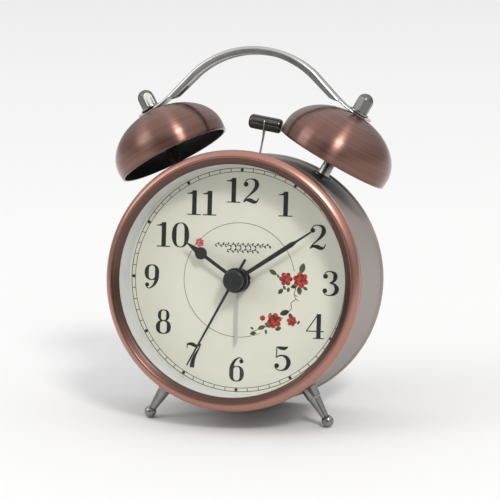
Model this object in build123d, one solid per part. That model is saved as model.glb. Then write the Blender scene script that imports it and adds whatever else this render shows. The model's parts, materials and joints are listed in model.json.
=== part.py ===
from build123d import *
import math
import os

# Twin-bell alarm clock, millimetres. The clock is drawn square to its own dial:
# X to the right, Y from the glass towards the back, Z up, with Y = 0 in the plane
# where the bezel is widest. It is leaned back onto its feet at the end.

# --- case ---
drum_r = 55.0            # outside of the steel drum
drum_wall = 0.7
drum_front = 0.7         # Y of the turned-in front edge
rim_tube = 1.0           # rolled rear rim
rim_y = 53.6
lip_r = 49.9             # bezel's inner lip
dial_y = 12.6            # front face of the dial
dial_r = 50.2
cover_y = 50.6           # inner face of the back cover
cover_t = 1.4

# --- bells, posts and handle ---
bell_plane = 30.2        # Y of the bells, posts, hammer and handle
bell_tilt = 29.0         # lean of each bell away from vertical, degrees
bell_x, bell_z = 35.75, 53.55    # centre of the bell's mouth
bell_mouth_r = 25.5
bell_r = 25.8
bell_waist = 4.0         # height of the widest circle above the mouth
bell_height = 22.3
bell_wall = 0.9
post_r = 2.65
stud_r = 1.95
tab_t = 1.1              # sheet of the handle, and its flat ends
tab_in, tab_out = 4.8, 6.4       # how far a flat end reaches each side of its stud
knee = (39.6, 79.3)      # X and Z where a leg of the handle turns towards its flat end
washer_t = 0.7
nut_r, nut_side, nut_dome = 3.8, 4.3, 4.1    # acorn nut: corner radius, side, height of dome
handle_r = 41.2          # outside of the handle's arch
handle_z = 61.2          # centre of the arch
handle_half = 43.0       # half angle of the arch, degrees
handle_depth = 3.45
handle_width = 8.0
web_end = 5.0            # length over which a side of the channel runs out at the knee

# --- feet ---
foot_y = 17.6
foot_splay = 32.0
foot_x, foot_z = 31.0, -45.4     # where a foot leaves the drum
foot_length = 16.84      # drum to the ball's centre
ball_r = 2.65

# --- movement ---
box_half = 28.0          # half of the square movement
box_front, box_back = 15.4, 33.8
box_wall = 1.2
wheel_t = 0.8
alarm_layer = 17.2       # Y of the front face of each wheel
hour_layer = 18.7
minute_layer = 20.2
centre_layer = 21.7
third_layer = 23.2
second_layer = 24.7
intermediate_layer = 26.2
magnet_layer = 27.8
arbor_r = 0.6            # nested pipes on the centre line
minute_bore, minute_r = 0.65, 1.2
hour_bore, hour_r = 1.25, 1.9
alarm_bore, alarm_r = 1.95, 2.7
bush_bore, bush_r = 2.75, 4.0
pin_r = 0.5              # fixed pins that the wheels turn on
pin_gap = 0.05
stem_r = 1.2             # stems of the two knobs
stem_gap = 0.08

# --- hands, as angles clockwise from twelve ---
hour_angle = 304.2
minute_angle = 56.3
second_angle = 208.0
alarm_angle = 180.0

# --- bell striker ---
pivot_z = 35.7
hammer_angle = 9.8       # rest angle from vertical, towards the right bell
hammer_reach = 33.3
head_r, head_length = 3.2, 15.0
wire_r = 0.45
crank_x, crank_z = -13.0, 38.0
motor_x, motor_z = -19.8, 34.8
motor_r = 6.0


def polar(distance, angle):
    """X and Z of a point at an angle anticlockwise from +X."""
    return (distance * math.cos(math.radians(angle)), distance * math.sin(math.radians(angle)))


def offset_from(point, distance, angle):
    step = polar(distance, angle)
    return (point[0] + step[0], point[1] + step[1])


def slab(sketch, y0, y1):
    """Extrude a sketch drawn in X and Z from y0 back to y1."""
    return extrude(Plane.XZ.offset(-y0) * sketch, amount=y0 - y1)


def rod(x, z, radius, y0, y1):
    """Cylinder along Y."""
    return Pos(x, (y0 + y1) / 2, z) * Rot(90, 0, 0) * Cylinder(radius, y1 - y0)


def block(x0, x1, y0, y1, z0, z1):
    return Pos((x0 + x1) / 2, (y0 + y1) / 2, (z0 + z1) / 2) * Box(x1 - x0, y1 - y0, z1 - z0)


def turned(*points):
    """Solid of revolution about Y from (radius, y) points."""
    return revolve(make_face(Polyline(*points, close=True)), axis=Axis.Y)


def spun(*points):
    """Solid of revolution about Z from (radius, z) points."""
    return revolve(Plane.XZ * make_face(Polyline(*points, close=True)), axis=Axis.Z)


def tube(x, z, outer, inner, y0, y1):
    return rod(x, z, outer, y0, y1) - rod(x, z, inner, y0 - 1, y1 + 1)


def bell_frame(side):
    """Frame of a bell: origin in its mouth, Z along its post."""
    return Pos(side * bell_x, bell_plane, bell_z) * Rot(0, side * bell_tilt, 0)


def foot_frame(side):
    """Frame of a foot: origin on the drum, Z down the foot."""
    return Pos(side * foot_x, foot_y, foot_z) * Rot(0, side * (180 - foot_splay), 0)


# --- case -------------------------------------------------------------------

def drum_case():
    """Drawn steel drum with a turned-in front edge and a rolled rear rim."""
    inner = drum_r - drum_wall
    can = turned((inner, drum_front), (drum_r, drum_front), (drum_r, rim_y), (inner, rim_y))
    front = turned((51.2, drum_front), (inner + 0.1, drum_front),
                   (inner + 0.1, drum_front + drum_wall), (51.2, drum_front + drum_wall))
    ring = revolve(Pos(drum_r - 0.05, rim_y) * Circle(rim_tube), axis=Axis.Y)
    case = can + front + ring
    for side in (-1, 1):
        case -= bell_frame(side) * Pos(0, 0, -10) * Cylinder(stud_r + 0.1, 10)
        case -= foot_frame(side) * Cylinder(stud_r + 0.1, 8)
    slot = Pos(0, bell_plane, drum_r) * Box(10.4, 2.6, 12)
    return case - slot


def bezel_ring():
    """Pressed half-round ring whose inner side slopes back to the lip that holds the glass."""
    outside = ThreePointArc((55.7, 4.2), (56.1, 0.0), (53.6, -4.5))
    inside = ThreePointArc((53.6, -4.5), (52.3, -4.1), (51.2, -3.2))
    lip = Polyline((51.2, -3.2), (50.4, -2.6), (lip_r, -2.1), (lip_r, -1.4), (53.6, -1.4),
                   (54.3, 0.3), (55.1, 0.3), (55.1, 4.2), (55.7, 4.2))
    return revolve(make_face(outside + inside + lip), axis=Axis.Y)


def lens():
    return rod(0, 0, 53.0, -1.3, -0.1)


def lens_gasket():
    """Thin ring between the glass and the reflector."""
    return tube(0, 0, 53.0, 51.0, -0.1, 0.1)


def reflector_ring():
    """Conical ring from the glass down to the dial, with a flange at the front."""
    return turned((50.3, 0.1), (53.4, 0.1), (53.4, 0.6), (50.9, 0.6), (50.3, 12.5), (49.7, 12.5))


def dial():
    return tube(0, 0, dial_r, bush_r + 0.1, dial_y, dial_y + 0.5)


def dial_carrier():
    """Moulded plate behind the dial, with three pillars that take the cover screws."""
    plate = rod(0, 0, 53.9, dial_y + 0.5, box_front - 0.1)
    plate -= rod(0, 0, 12.0, 0, 30)
    for angle in pillar_angles:
        x, z = polar(48.0, angle)
        plate += rod(x, z, 2.8, box_front - 0.5, cover_y)
        plate -= rod(x, z, 1.1, cover_y - 12, cover_y + 1)
    for side in (-1, 1):
        plate -= foot_frame(side) * Pos(0, 0, -3) * Cylinder(5.2, 14)
    return plate


pillar_angles = (0, 180, 270)


def back_cover():
    """Moulded back with the battery bay, and openings for the controls."""
    plate = turned((0, cover_y), (54.0, cover_y), (54.0, cover_y + cover_t), (0, cover_y + cover_t))
    skirt = turned((52.8, cover_y - 3), (54.0, cover_y - 3), (54.0, cover_y + 0.1), (52.8, cover_y + 0.1))
    bay = block(-30, 30, 34.6, cover_y + 0.1, -43.6, -24.4) - block(-28.8, 28.8, 35.6, 60, -42.4, -25.6)
    cover = plate + skirt + bay
    cover -= block(-28.8, 28.8, cover_y - 1, 60, -42.4, -25.6)
    cover -= block(-30.4, 30.4, cover_y + 0.6, 60, -43.2, -24.8)
    for x, z in (time_axis, knob_alarm_axis):
        cover -= rod(x, z, stem_r + stem_gap, cover_y - 1, 60)
        cover -= tube(x, z, 8.2, 7.4, cover_y + cover_t - 0.4, 60)
    cover -= block(switch_x - 5.2, switch_x + 5.2, cover_y - 1, 60, switch_z - 1.6, switch_z + 1.6)
    for angle in pillar_angles:
        x, z = polar(48.0, angle)
        cover -= rod(x, z, 1.3, cover_y - 1, 60)
    for row in range(-2, 3):
        for column in range(-3, 4):
            if abs(row) + abs(column) < 5:
                cover -= rod(column * 3.2, 33.0 + row * 3.2, 0.9, cover_y - 1, 60)
    return cover


def cover_screws():
    """Three pan-head screws through the back cover."""
    screws = []
    for angle in pillar_angles:
        x, z = polar(48.0, angle)
        head = rod(x, z, 2.3, cover_y + cover_t, cover_y + cover_t + 1.3)
        shank = rod(x, z, 1.05, cover_y - 7, cover_y + cover_t + 0.2)
        cross = block(x - 1.4, x + 1.4, cover_y + cover_t + 0.5, 60, z - 0.25, z + 0.25)
        cross += block(x - 0.25, x + 0.25, cover_y + cover_t + 0.5, 60, z - 1.4, z + 1.4)
        screws.append(head + shank - cross)
    return screws


def battery_door():
    """Snap-in door that lifts straight off the bay."""
    door = block(-30.2, 30.2, cover_y + 0.65, cover_y + cover_t, -43.0, -25.0)
    for n in range(5):
        door += block(18 + n * 2, 19 + n * 2, cover_y + cover_t - 0.1, cover_y + cover_t + 0.5, -38, -30)
    door -= block(-28.6, 28.6, cover_y, cover_y + 0.9, -42, -26)
    return door


def aa_cell():
    """AA cell lying across the clock."""
    cell = Cylinder(7.1, 49.0) + Pos(0, 0, 24.9) * Cylinder(2.7, 1.0)
    return Pos(-0.4, 43.2, -34.0) * Rot(0, 90, 0) * cell


def battery_contacts():
    """Plate at the positive end, leaf spring at the negative end."""
    plate = block(28.0, 28.5, 38, 48.5, -39, -29) + block(25.05, 28.1, 42, 44.4, -35, -33)
    leaf = block(-28.5, -28.0, 38, 48.5, -39, -29)
    spring = block(-28.1, -24.95, 42.2, 42.7, -36, -32) + block(-25.4, -24.95, 40.5, 45.5, -36, -32)
    return [plate, leaf + spring]


# --- bells, handle and feet -------------------------------------------------

def dome(radius, mouth, rise, grow):
    """Solid dome: a slightly conical skirt below an elliptical crown."""
    skirt = ThreePointArc((mouth, -grow), ((mouth + 3 * radius) / 4, bell_waist / 2), (radius, bell_waist))
    crown = EllipticalCenterArc((0, bell_waist), radius, rise, start_angle=0, arc_size=90)
    close = Polyline((0, bell_waist + rise), (0, -grow), (mouth, -grow))
    return revolve(Plane.XZ * make_face(skirt + crown + close), axis=Axis.Z)


def bell(side):
    rise = bell_height - bell_waist
    outer = dome(bell_r, bell_mouth_r, rise, 0)
    inner = dome(bell_r - bell_wall, bell_mouth_r - bell_wall, rise - bell_wall, 0.5)
    hole = Pos(0, 0, bell_height) * Cylinder(stud_r + 0.1, 6)
    return bell_frame(side) * (outer - inner - hole)


def bell_post(side):
    """Turned post: inside stud, flange on the drum, column, stud through the bell."""
    top = bell_height - bell_wall - 0.15
    return bell_frame(side) * spun((0, -15), (stud_r, -15), (stud_r, -8.75), (4.65, -8.75), (4.65, -7.75),
                                   (post_r, -7.75), (post_r, top), (stud_r, top), (stud_r, 28.5), (0, 28.5))


def post_nuts():
    """Nuts inside the drum on the two bell posts."""
    nut = extrude(RegularPolygon(4.0, 6), amount=3.0) - Cylinder(stud_r + 0.02, 12)
    return [bell_frame(side) * Pos(0, 0, -13.9) * nut for side in (-1, 1)]


def washers():
    ring = Cylinder(4.6, washer_t) - Cylinder(stud_r + 0.1, 4)
    return [bell_frame(side) * Pos(0, 0, bell_height + tab_t + washer_t / 2) * ring for side in (-1, 1)]


def cap_nuts():
    """Acorn nuts: a hexagon whose flats run out into a dome, with a blind hole."""
    base = bell_height + tab_t + washer_t
    outline = Polyline((0, nut_side), (0, 0), (nut_r, 0), (nut_r, nut_side))
    dome_edge = EllipticalCenterArc((0, nut_side), nut_r, nut_dome, start_angle=0, arc_size=90)
    outline += dome_edge + Line((0, nut_side + nut_dome), (0, nut_side))
    blank = revolve(Plane.XZ * make_face(outline), axis=Axis.Z)
    nut = extrude(RegularPolygon(nut_r, 6), amount=nut_side + nut_dome) & blank
    hole = Pos(0, 0, 2.4) * Cylinder(stud_r + 0.02, 4.9)
    return [bell_frame(side) * Pos(0, 0, base) * (nut - hole) for side in (-1, 1)]


def strip(line, depths):
    """Band of the given depths below a line of points that runs down to the right."""
    lower = []
    for n, (point, depth) in enumerate(zip(line, depths)):
        before, after = line[max(n - 1, 0)], line[min(n + 1, len(line) - 1)]
        length = math.dist(before, after)
        below = ((after[1] - before[1]) / length, (before[0] - after[0]) / length)
        lower.append((point[0] + depth * below[0], point[1] + depth * below[1]))
    return make_face(Polyline(*line, *reversed(lower), close=True))


def arch(depth):
    """Upper arc of the handle, as a band of the given depth."""
    half = math.radians(handle_half)
    side_x, side_z = 120 * math.sin(half), handle_z + 120 * math.cos(half)
    wedge = Polyline((0, handle_z), (side_x, side_z), (0, 200), (-side_x, side_z), close=True)
    return Pos(0, handle_z) * (Circle(handle_r) - Circle(handle_r - depth)) & make_face(wedge)


def handle():
    """Channel-section strap: an arch and two legs, flattened under the cap nuts."""
    half, tilt = math.radians(handle_half), math.radians(bell_tilt)
    shoulder = ((handle_r - 0.02) * math.sin(half - 0.02),
                handle_z + (handle_r - 0.02) * math.cos(half - 0.02))
    crown = bell_height + tab_t
    heel = (bell_x + crown * math.sin(tilt) - tab_in * math.cos(tilt),
            bell_z + crown * math.cos(tilt) + tab_in * math.sin(tilt))
    toe = (bell_x + crown * math.sin(tilt) + tab_out * math.cos(tilt),
           bell_z + crown * math.cos(tilt) - tab_out * math.sin(tilt))
    leg = math.dist(shoulder, knee)
    run_out = tuple(b + (a - b) * web_end / leg for a, b in zip(shoulder, knee))
    sheet = strip((shoulder, knee, heel, toe), (tab_t,) * 4)
    web = strip((shoulder, run_out, knee), (handle_depth, 0.9 * handle_depth, tab_t))
    sheet = sheet + mirror(sheet, about=Plane.YZ) + arch(tab_t)
    web = web + mirror(web, about=Plane.YZ) + arch(handle_depth)
    near, far = bell_plane - handle_width / 2, bell_plane + handle_width / 2
    strap = slab(sheet, near, far) + slab(web, near, near + tab_t) + slab(web, far - tab_t, far)
    for side in (-1, 1):
        strap -= bell_frame(side) * Pos(0, 0, bell_height) * Cylinder(stud_r + 0.1, 6)
    return strap


def foot(side):
    """Turned foot: stud, collar, taper and ball."""
    neck = foot_length - math.sqrt(ball_r ** 2 - 1.65 ** 2)
    shape = Polyline((0, -7), (stud_r, -7), (stud_r, 0.3), (3.5, 0.3), (3.15, 5.2), (2.75, 5.6),
                     (1.65, neck))
    shape += ThreePointArc((1.65, neck), (ball_r, foot_length), (0, foot_length + ball_r))
    shape += Line((0, foot_length + ball_r), (0, -7))
    return foot_frame(side) * revolve(Plane.XZ * make_face(shape), axis=Axis.Z)


def foot_nuts():
    nut = extrude(RegularPolygon(4.0, 6), amount=3.0) - Cylinder(stud_r + 0.02, 12)
    return [foot_frame(side) * Pos(0, 0, -4.6) * nut for side in (-1, 1)]


# --- gears ------------------------------------------------------------------

def gear(teeth, pitch_r, x, z, y0, phase, bore, thickness=wheel_t):
    """Low-toothed clock gear; phase is the angle of one tooth's centre."""
    module = 2 * pitch_r / teeth
    tip, root = pitch_r + 0.35 * module, pitch_r - 0.75 * module
    step = 360 / teeth
    corners = []
    for n in range(teeth):
        centre = phase + n * step
        for radius, turn in ((root, -0.22), (tip, -0.1), (tip, 0.1), (root, 0.22)):
            corners.append(polar(radius, centre + turn * step))
    blank = make_face(Polyline(*corners, close=True)) - Circle(bore)
    return Pos(x, 0, z) * slab(blank, y0, y0 + thickness)


def meshed(phase, teeth, angle, next_teeth):
    """Phase of the next gear, so that its gap faces the tooth of the one before."""
    lead = (phase - angle) % (360 / teeth)
    return angle + 180 - lead * teeth / next_teeth + 180 / next_teeth


# Centre distances and directions from one axis to the next.
third_angle = 135.0
third_axis = polar(10.8, third_angle)
intermediate_angle = 20.0
intermediate_axis = polar(8.4, intermediate_angle)
rotor_angle = -10.0
rotor_axis = offset_from(intermediate_axis, 6.3, rotor_angle)
work_angle = -60.0
work_axis = polar(10.0, work_angle)
time_axis = offset_from(work_axis, 11.25, work_angle)
knob_alarm_angle = 210.0
knob_alarm_axis = polar(12.0, knob_alarm_angle)
switch_x, switch_z = 22.0, 8.0

# Tooth counts and pitch radii.
second_teeth, second_pitch = 40, 7.0
intermediate_pinion_teeth, intermediate_pinion = 8, 1.4
intermediate_teeth, intermediate_pitch = 36, 5.4
rotor_teeth, rotor_pitch = 6, 0.9
second_pinion_teeth, second_pinion = 8, 10.8 * 8 / 68
third_teeth, third_pitch = 60, 10.8 * 60 / 68
third_pinion_teeth, third_pinion = 8, 1.2
centre_teeth, centre_pitch = 64, 9.6
cannon_teeth, cannon_pitch = 10, 2.5
work_teeth, work_pitch = 30, 7.5
work_pinion_teeth, work_pinion = 8, 2.0
hour_teeth, hour_pitch = 32, 8.0
time_teeth, time_pitch = 15, 3.75
alarm_teeth, alarm_pitch = 36, 9.0
alarm_pinion_teeth, alarm_pinion = 12, 3.0
crank_teeth, motor_teeth = 40, 10


def second_wheel():
    """Second wheel and pinion on the long arbor that carries the second hand."""
    wheel = gear(second_teeth, second_pitch, 0, 0, second_layer, 0, 0.3)
    pinion = gear(second_pinion_teeth, second_pinion, 0, 0, third_layer - 0.1, 0, 0.3, 1.7)
    return wheel + pinion + rod(0, 0, arbor_r, 2.2, box_back - 1.3)


def intermediate_wheel():
    pinion_phase = meshed(0, second_teeth, intermediate_angle, intermediate_pinion_teeth)
    x, z = intermediate_axis
    bore = pin_r + pin_gap
    pinion = gear(intermediate_pinion_teeth, intermediate_pinion, x, z, second_layer, pinion_phase,
                  bore, 1.6)
    return pinion + gear(intermediate_teeth, intermediate_pitch, x, z, intermediate_layer, 0, bore)


def rotor():
    """Magnet rotor of the stepping motor, with its pinion."""
    phase = meshed(0, intermediate_teeth, rotor_angle, rotor_teeth)
    x, z = rotor_axis
    bore = 0.35
    pinion = gear(rotor_teeth, rotor_pitch, x, z, intermediate_layer - 0.1, phase, bore, 1.8)
    return pinion + tube(x, z, 2.2, bore, magnet_layer, magnet_layer + 2.6)


def third_wheel():
    phase = meshed(0, second_pinion_teeth, third_angle, third_teeth)
    x, z = third_axis
    bore = pin_r + pin_gap
    pinion = gear(third_pinion_teeth, third_pinion, x, z, centre_layer, 0, bore, 1.6)
    return pinion + gear(third_teeth, third_pitch, x, z, third_layer, phase, bore)


def centre_wheel():
    """Centre wheel, a friction fit on the minute pipe."""
    phase = meshed(0, third_pinion_teeth, third_angle + 180, centre_teeth)
    return gear(centre_teeth, centre_pitch, 0, 0, centre_layer, phase, minute_r + pin_gap)


def minute_pipe():
    """Minute pipe with its cannon pinion and the collar that backs the friction clutch."""
    pipe = tube(0, 0, minute_r, minute_bore, 5.9, centre_layer + wheel_t + 0.45)
    collar = tube(0, 0, 1.9, minute_bore, centre_layer + wheel_t + 0.1, centre_layer + wheel_t + 0.45)
    pinion = gear(cannon_teeth, cannon_pitch, 0, 0, minute_layer, 0, minute_bore)
    return pipe + collar + pinion


def minute_work_wheel():
    x, z = work_axis
    bore = pin_r + pin_gap
    phase = meshed(0, cannon_teeth, work_angle, work_teeth)
    wheel = gear(work_teeth, work_pitch, x, z, minute_layer, phase, bore)
    return wheel + gear(work_pinion_teeth, work_pinion, x, z, hour_layer, 0, bore, 1.6)


def hour_wheel():
    phase = meshed(0, work_pinion_teeth, work_angle + 180, hour_teeth)
    wheel = gear(hour_teeth, hour_pitch, 0, 0, hour_layer, phase, hour_bore)
    return wheel + tube(0, 0, hour_r, hour_bore, 8.4, hour_layer + wheel_t)


def alarm_wheel():
    wheel = gear(alarm_teeth, alarm_pitch, 0, 0, alarm_layer, 0, alarm_bore)
    return wheel + tube(0, 0, alarm_r, alarm_bore, 10.3, alarm_layer + wheel_t)


def time_stem():
    """Stem and gear that set the hands."""
    x, z = time_axis
    work_phase = meshed(0, cannon_teeth, work_angle, work_teeth)
    phase = meshed(work_phase, work_teeth, work_angle, time_teeth)
    return gear(time_teeth, time_pitch, x, z, minute_layer, phase, 0.3) + rod(x, z, stem_r, 19.6, 55.0)


def alarm_stem():
    x, z = knob_alarm_axis
    phase = meshed(0, alarm_teeth, knob_alarm_angle, alarm_pinion_teeth)
    pinion = gear(alarm_pinion_teeth, alarm_pinion, x, z, alarm_layer, phase, 0.3)
    return pinion + rod(x, z, stem_r, 16.9, 55.0)


def knob(axis):
    """Fluted setting knob pressed on its stem."""
    x, z = axis
    grip = Circle(6.6)
    for n in range(18):
        grip -= Pos(*polar(6.75, n * 20)) * Circle(0.55)
    back = cover_y + cover_t
    head = Pos(x, 0, z) * slab(grip, back + 0.4, back + 4.8)
    return head - rod(x, z, stem_r, back - 1, 55.0)


# --- movement ---------------------------------------------------------------

def movement_front_plate():
    plate = block(-box_half, box_half, box_front, box_front + box_wall, -box_half, box_half)
    return plate - rod(0, 0, bush_r + 0.02, 0, 30)


def movement_rear_shell():
    """Open box that closes the movement from behind."""
    outer = block(-box_half, box_half, box_front + box_wall, box_back, -box_half, box_half)
    inside = box_half - box_wall
    shell = outer - block(-inside, inside, 0, box_back - box_wall, -inside, inside)
    shell += rod(0, 0, 2.0, 30.6, box_back - box_wall + 0.1)
    shell -= rod(0, 0, arbor_r + pin_gap, 30.0, box_back - 0.9)
    for x, z in (time_axis, knob_alarm_axis):
        shell -= rod(x, z, stem_r + stem_gap, 30, 40)
    return shell


def train_pins():
    """Fixed steel pins that the wheels turn on."""
    inner_back = box_back - box_wall
    third = rod(*third_axis, pin_r, centre_layer - 0.1, inner_back)
    intermediate = rod(*intermediate_axis, pin_r, second_layer - 0.2, inner_back)
    magnet = rod(*rotor_axis, 0.3, intermediate_layer - 0.3, inner_back)
    work = rod(*work_axis, pin_r, box_front + box_wall, minute_layer + wheel_t + 0.3)
    return [third, intermediate, magnet, work]


def centre_bush():
    """Threaded bush that clamps the dial to the movement."""
    return tube(0, 0, bush_r, bush_bore, 10.9, box_front + box_wall)


def bush_nut():
    """Round nut with four notches for its spanner."""
    notches = PolarLocations(5.5, 4) * Circle(0.8)
    return slab(Circle(5.2) - notches - Circle(bush_r + 0.02), 11.1, dial_y)


def stator():
    """Flat stator of the stepping motor, a loop with the rotor's hole in it."""
    x, z = rotor_axis
    plate = block(9.6, 23.2, 28.3, 29.5, -9, 12)
    return plate - block(17.6, 20.8, 28, 30, -6, 9) - rod(x, z, 2.75, 20, 40)


def coil():
    """Winding on the stator's outer leg."""
    winding = block(18.0, 26.0, 25.8, 32.0, -5.6, 8.6)
    return winding - block(20.75, 23.25, 28.25, 29.55, -10, 12)


def circuit_board():
    return block(-26, 5, 30.6, 31.8, -26, -12)


def quartz_can():
    return Pos(-12, 29.05, -20) * Rot(0, 90, 0) * Cylinder(1.5, 8.0)


# --- hands ------------------------------------------------------------------

def alarm_hand():
    blade = make_face(Polyline((-0.6, 0), (-0.6, 26.5), (0, 28.2), (0.6, 26.5), (0.6, 0), close=True))
    shape = blade + Circle(3.6) - Circle(alarm_bore)
    return Rot(0, alarm_angle, 0) * slab(shape, 9.9, 10.3)


def hour_hand():
    """Hour hand with a round swelling and a pointed tip."""
    blade = make_face(Polyline((-0.75, 0), (-0.75, 18), (0.75, 18), (0.75, 0), close=True))
    tip = make_face(Polyline((-1.5, 21.4), (0, 28.4), (1.5, 21.4), close=True))
    shape = blade + Pos(0, 19.7) * Circle(2.7) + tip + Circle(4.8) - Circle(hour_bore)
    return Rot(0, hour_angle, 0) * slab(shape, 7.9, 8.4)


def minute_hand():
    """Minute hand: a flat arm that ends in a fine needle, on a wide hub."""
    right = ((0.8, 0), (1.05, 29.6), (0.48, 31.6), (0.36, 39.2))
    left = [(-x, y) for x, y in reversed(right)]
    blade = make_face(Polyline(*right, (0, 39.8), *left, close=True))
    shape = blade + Circle(5.4) - Circle(minute_bore)
    return Rot(0, minute_angle, 0) * (slab(shape, 5.4, 5.9) + tube(0, 0, 5.4, hour_r, 5.8, 6.9))


def second_hand():
    """Fine second hand with a plain counterweight tail."""
    blade = make_face(Polyline((-0.58, -10.6), (-0.64, 0), (-0.32, 42.3), (0.32, 42.3), (0.64, 0),
                               (0.58, -10.6), close=True))
    shape = blade + Circle(3.0) - Circle(arbor_r)
    return Rot(0, second_angle, 0) * slab(shape, 2.7, 3.0)


def hub_cap():
    """Domed cap over the hands' hub."""
    return turned((0, 0.9), (3.6, 0.9), (4.2, 1.1), (4.5, 1.6), (4.5, 2.7), (arbor_r, 2.7), (arbor_r, 2.2),
                  (0, 2.2))


# --- bell striker -----------------------------------------------------------

def motor_bracket():
    """Steel bracket on top of the movement that holds the bell motor."""
    plate = block(-24.5, 4.5, 33.0, 34.0, 28.0, 43.0)
    foot_plate = block(-18, 4.5, 24.0, 33.1, 28.0, 28.9)
    plate -= rod(motor_x, motor_z, 1.1, 30, 40)
    return plate + foot_plate


def hammer_pin():
    """Pivot pin of the hammer, riveted in the bracket."""
    return rod(0, pivot_z, 0.75, 27.4, 33.0)


def bell_motor():
    """Small can motor behind the bracket."""
    can = rod(motor_x, motor_z, motor_r, 34.0, 46.5) + rod(motor_x, motor_z, 2.0, 46.4, 47.6)
    return can


def motor_pinion():
    """Motor shaft and pinion."""
    lean = math.degrees(math.atan2(crank_z - motor_z, crank_x - motor_x))
    pitch = math.dist((motor_x, motor_z), (crank_x, crank_z)) * motor_teeth / (motor_teeth + crank_teeth)
    phase = meshed(0, crank_teeth, lean + 180, motor_teeth)
    return gear(motor_teeth, pitch, motor_x, motor_z, 31.4, phase, 0.3, 1.2) \
        + rod(motor_x, motor_z, 0.6, 31.2, 34.0)


def crank_gear():
    """Gear with the eccentric pin that works the hammer's fork."""
    pitch = math.dist((motor_x, motor_z), (crank_x, crank_z)) * crank_teeth / (motor_teeth + crank_teeth)
    wheel = gear(crank_teeth, pitch, crank_x, crank_z, 31.4, 0, 0.85, 1.2)
    return wheel + rod(crank_x, crank_z + 2.4, 0.7, 31.0, 31.5)


def hammer_arm():
    """Spring-wire arm in a hub, with the fork that the crank works."""
    hub = tube(0, pivot_z, 2.0, 0.8, 28.2, 32.2)
    wire = Pos(0, bell_plane, pivot_z + 1.5 + (hammer_reach - 1.5) / 2) \
        * Cylinder(wire_r, hammer_reach - 1.5)
    wire = Pos(0, 0, pivot_z) * Rot(0, hammer_angle, 0) * Pos(0, 0, -pivot_z) * wire
    fork = block(-17.5, -1.7, 29.5, 30.6, pivot_z - 1.8, pivot_z + 5.8)
    fork -= block(-18.5, -8.5, 29, 31, pivot_z + 1.3, pivot_z + 3.3)
    fork -= block(-18.5, -5.0, 29, 31, pivot_z - 2.5, pivot_z - 0.2)
    fork -= block(-18.5, -5.0, 29, 31, pivot_z + 4.7, pivot_z + 7.0)
    return hub + wire + fork


def hammer_head():
    """Round-ended steel head across the wire."""
    blank = Cylinder(head_r, head_length)
    blank = fillet(blank.edges(), 1.6)
    head = Rot(0, 90, 0) * blank - Pos(0, 0, -head_r / 2 - 0.5) * Cylinder(wire_r, head_r + 1)
    return Pos(0, bell_plane, pivot_z) * Rot(0, hammer_angle, 0) * Pos(0, 0, hammer_reach) * head


def alarm_switch():
    """Slide that turns the alarm on and off."""
    slide = block(switch_x - 3.0, switch_x + 0.4, cover_y - 1.6, cover_y + cover_t + 1.4,
                  switch_z - 1.4, switch_z + 1.4)
    plate = block(switch_x - 5.0, switch_x + 2.4, cover_y - 1.6, cover_y - 0.4,
                  switch_z - 3.2, switch_z + 3.2)
    return slide + plate


# --- assembly ---------------------------------------------------------------

pieces = {
    "drum_case": drum_case(),
    "bezel_ring": bezel_ring(),
    "lens": lens(),
    "lens_gasket": lens_gasket(),
    "reflector_ring": reflector_ring(),
    "dial": dial(),
    "dial_carrier": dial_carrier(),
    "back_cover": back_cover(),
    "cover_screws": cover_screws(),
    "battery_door": battery_door(),
    "aa_cell": aa_cell(),
    "battery_contacts": battery_contacts(),
    "bell_left": bell(-1),
    "bell_right": bell(1),
    "post_left": bell_post(-1),
    "post_right": bell_post(1),
    "post_nuts": post_nuts(),
    "washers": washers(),
    "cap_nuts": cap_nuts(),
    "handle": handle(),
    "foot_left": foot(-1),
    "foot_right": foot(1),
    "foot_nuts": foot_nuts(),
    "movement_front_plate": movement_front_plate(),
    "movement_rear_shell": movement_rear_shell(),
    "train_pins": train_pins(),
    "centre_bush": centre_bush(),
    "bush_nut": bush_nut(),
    "stator": stator(),
    "coil": coil(),
    "circuit_board": circuit_board(),
    "quartz_can": quartz_can(),
    "second_wheel": second_wheel(),
    "intermediate_wheel": intermediate_wheel(),
    "rotor": rotor(),
    "third_wheel": third_wheel(),
    "centre_wheel": centre_wheel(),
    "minute_pipe": minute_pipe(),
    "minute_work_wheel": minute_work_wheel(),
    "hour_wheel": hour_wheel(),
    "alarm_wheel": alarm_wheel(),
    "alarm_hand": alarm_hand(),
    "hour_hand": hour_hand(),
    "minute_hand": minute_hand(),
    "second_hand": second_hand(),
    "hub_cap": hub_cap(),
    "time_stem": time_stem(),
    "time_knob": knob(time_axis),
    "alarm_stem": alarm_stem(),
    "alarm_knob": knob(knob_alarm_axis),
    "alarm_switch": alarm_switch(),
    "motor_bracket": motor_bracket(),
    "bell_motor": bell_motor(),
    "motor_pinion": motor_pinion(),
    "crank_gear": crank_gear(),
    "hammer_pin": hammer_pin(),
    "hammer_arm": hammer_arm(),
    "hammer_head": hammer_head(),
}

# The clock stands on its two ball feet and the bottom of the rolled rear rim,
# which sets how far it leans back.
ball_drop = -foot_z + foot_length * math.cos(math.radians(foot_splay))
reach = rim_y - foot_y
drop = ball_drop - (drum_r - 0.05)
lean = math.degrees(math.asin((ball_r - rim_tube) / math.hypot(reach, drop)) + math.atan2(drop, reach))


def solids_of(piece):
    shapes = piece if isinstance(piece, list) else [piece]
    return [solid for shape in shapes for solid in shape.solids()]


leaned = {name: [Rot(-lean, 0, 0) * solid for solid in solids_of(piece)] for name, piece in pieces.items()}
points = [point for name in ("bell_left", "bezel_ring", "drum_case", "foot_left", "handle")
          for solid in leaned[name] for point in solid.tessellate(0.01, 0.05)[0]]
front, back = min(point.Y for point in points), max(point.Y for point in points)
floor, top = min(point.Z for point in points), max(point.Z for point in points)
shift = Pos(0, -(front + back) / 2, -floor)

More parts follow.
